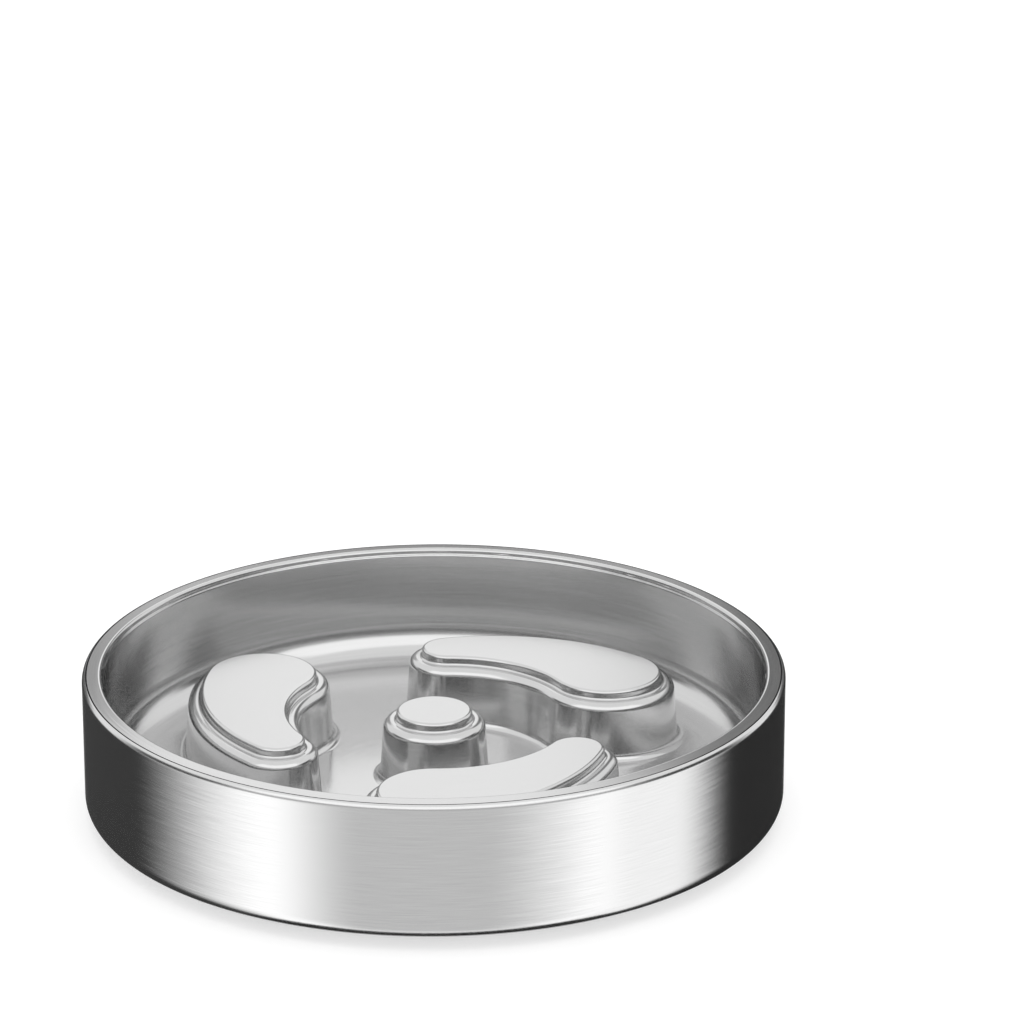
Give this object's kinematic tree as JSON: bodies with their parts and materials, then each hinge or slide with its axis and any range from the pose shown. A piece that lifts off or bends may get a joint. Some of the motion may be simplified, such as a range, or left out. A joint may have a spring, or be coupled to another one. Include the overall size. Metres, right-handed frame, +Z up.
{
  "type": "slow feeder bowl",
  "caption": "Round double-walled stainless steel pet bowl with raised kidney-shaped islands and a centre dome pressed into its liner, on a grooved rubber foot ring.",
  "frame": {"origin": "centre of the plane that the rubber foot ring rests on", "axes": "+Z up along the bowl's axis; +X points along the wide gap between two islands, so that -Y faces the camera in the picture"},
  "size_m": [0.25, 0.25, 0.0535],
  "materials": {
    "liner_steel": "pressed stainless steel, polished to a soft satin shine",
    "shell_steel": "stainless steel brushed round the wall",
    "base_steel": "stainless steel, spun brushed in circles",
    "rubber": "dark grey moulded rubber with a fine eroded grain",
    "adhesive": "thin translucent white adhesive transfer film"
  },
  "bodies": {
    "root": {"inner_bowl": "liner_steel", "outer_shell": "shell_steel", "base_plate": "base_steel", "foot_ring": "rubber", "foot_adhesive": "adhesive"}
  },
  "joints": []
}
